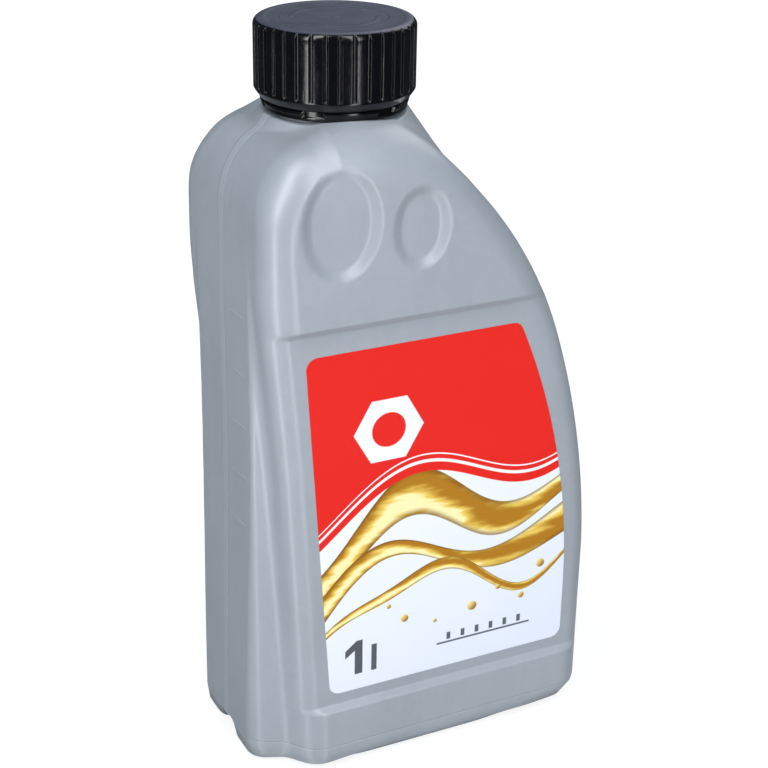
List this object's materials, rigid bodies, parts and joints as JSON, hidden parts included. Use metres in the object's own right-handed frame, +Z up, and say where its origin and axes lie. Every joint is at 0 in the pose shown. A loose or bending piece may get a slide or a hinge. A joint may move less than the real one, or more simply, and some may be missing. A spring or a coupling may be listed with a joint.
{
  "type": "motor oil bottle",
  "caption": "Upright grey plastic bottle for motor oil with an offset neck, a ribbed screw cap, a tamper band, a hand rib, finger dimples and a recessed label panel.",
  "frame": {"origin": "on the floor under the middle of the whole bottle", "axes": "+Z up along the neck, -Y out of the front with the label, -X towards the upright hand rib"},
  "size_m": [0.1126, 0.067, 0.225],
  "materials": {
    "bottle": "satin grey-blue polyethylene",
    "cap": "near-black polypropylene with a soft sheen",
    "liner": "white foamed polyethylene",
    "label": "printed film, semi-gloss"
  },
  "bodies": {
    "bottle_body": {"bottle": "bottle", "tamper_band": "cap", "front_label": "label"},
    "seal_body": {"cap_liner": "liner"},
    "cap_body": {"cap": "cap"}
  },
  "joints": [
    {"name": "cap_lift", "type": "slide", "parent": "bottle_body", "child": "seal_body", "axis": [0, 0, 1], "range_m": [0, 0.0221]},
    {"name": "cap_twist", "type": "hinge", "parent": "seal_body", "child": "cap_body", "pos_m": [-0.0191, 0, 0], "axis": [0, 0, 1], "range_deg": [0, 1980]}
  ],
  "couplings": [
    {"joint": "cap_lift", "follows": "cap_twist", "m_per_rad": 0.00063662}
  ]
}
